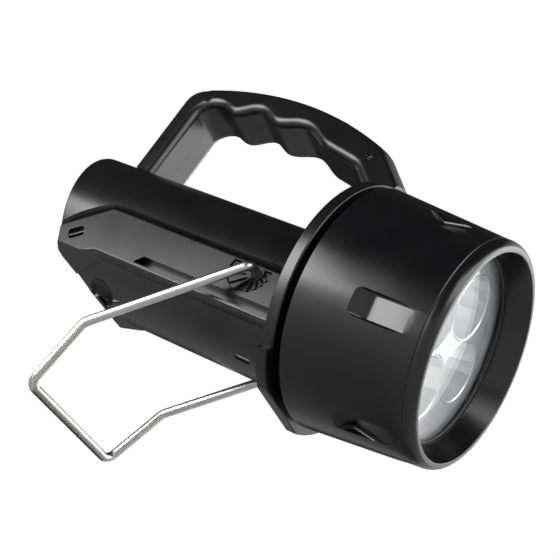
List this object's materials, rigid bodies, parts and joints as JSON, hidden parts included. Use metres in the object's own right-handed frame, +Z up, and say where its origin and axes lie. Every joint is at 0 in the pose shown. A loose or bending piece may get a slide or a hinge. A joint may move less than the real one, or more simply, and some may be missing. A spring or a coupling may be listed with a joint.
{
  "type": "hand lamp",
  "caption": "Explosion-proof hand lamp: round body with a carrying handle, screw-on head with a cupped reflector behind a flat lens, and a folding wire stand.",
  "frame": {"origin": "centre of the bounding box on the surface that the lamp stands on", "axes": "+X the way the beam points over the ground, +Y to the lamp's left, +Z up; the lamp leans nose down by 19.8 degrees, on its head rim and its stand"},
  "size_m": [0.203, 0.1046, 0.1759],
  "materials": {
    "black_plastic": "satin, finely textured",
    "black_rubber": "matt",
    "wire": "nickel plated",
    "reflector_metal": "vacuum metallised",
    "lens_glass": "clear polished",
    "aluminium": "as cast",
    "circuit": "solder mask",
    "led_board": "white solder mask",
    "led_package": "clear dome over yellow phosphor",
    "cell_jacket": "printed film",
    "steel": "zinc plated",
    "brass": "plain",
    "switch_white": "plain",
    "lead_red": "insulated wire"
  },
  "bodies": {
    "lamp": {"housing": "black_plastic", "collar": "black_plastic", "side_panel_left": "black_plastic", "side_panel_right": "black_plastic", "pivot_hub_left": "black_plastic", "pivot_hub_right": "black_plastic", "handle_left": "black_plastic", "handle_right": "black_plastic", "micro_switch": "black_plastic", "reflector_spacer": "black_plastic", "battery_holder": "black_plastic", "driver_chip": "black_plastic", "strap_bar_left": "black_plastic", "strap_bar_right": "black_plastic", "neck_oring": "black_rubber", "switch_bezel": "black_rubber", "driver_coil": "black_rubber", "lanyard_bar": "wire", "front_pin_left": "wire", "front_pin_right": "wire", "reflector": "reflector_metal", "lens": "lens_glass", "heat_sink": "aluminium", "driver_board": "circuit", "led_board": "led_board", "led_1": "led_package", "led_2": "led_package", "led_3": "led_package", "led_4": "led_package", "cell_1": "cell_jacket", "cell_2": "cell_jacket", "cell_3": "cell_jacket", "cell_4": "cell_jacket", "cell_5": "cell_jacket", "cell_6": "cell_jacket", "board_screw_1": "steel", "board_screw_2": "steel", "sink_screw_1": "steel", "sink_screw_2": "steel", "sink_screw_3": "steel", "handle_screw_1": "steel", "handle_screw_2": "steel", "contact_spring_1": "steel", "contact_spring_2": "steel", "contact_spring_3": "steel", "contact_plate_front": "brass", "contact_plate_rear": "brass", "return_rod": "brass", "driver_stud_left": "brass", "driver_stud_right": "brass", "switch_lead": "lead_red", "led_lead": "lead_red"},
    "stand": {"wire_stand": "wire"},
    "switch_push": {"switch_button": "black_rubber", "switch_plunger": "switch_white"},
    "seal_slide": {"lens_gasket": "black_rubber"},
    "head": {"head_cap": "black_plastic"}
  },
  "joints": [
    {"name": "stand_hinge", "type": "hinge", "parent": "lamp", "child": "stand", "pos_m": [0.00114, 0, 0.0579], "axis": [0, 1, 0], "range_deg": [-60, 38]},
    {"name": "switch_press", "type": "slide", "parent": "lamp", "child": "switch_push", "axis": [-0.51, 0, -0.8602], "range_m": [0, 0.0012], "stiffness_N_per_m": 1500, "springref_m": -0.001},
    {"name": "lens_seal_slide", "type": "slide", "parent": "lamp", "child": "seal_slide", "axis": [0.941, 0, -0.3384], "range_m": [0, 0.003]},
    {"name": "head_turn", "type": "hinge", "parent": "seal_slide", "child": "head", "pos_m": [0.03223, 0, 0.06309], "axis": [0.941, 0, -0.3384], "range_deg": [0, 360]}
  ],
  "couplings": [
    {"joint": "lens_seal_slide", "follows": "head_turn", "m_per_rad": 0.00047742}
  ]
}
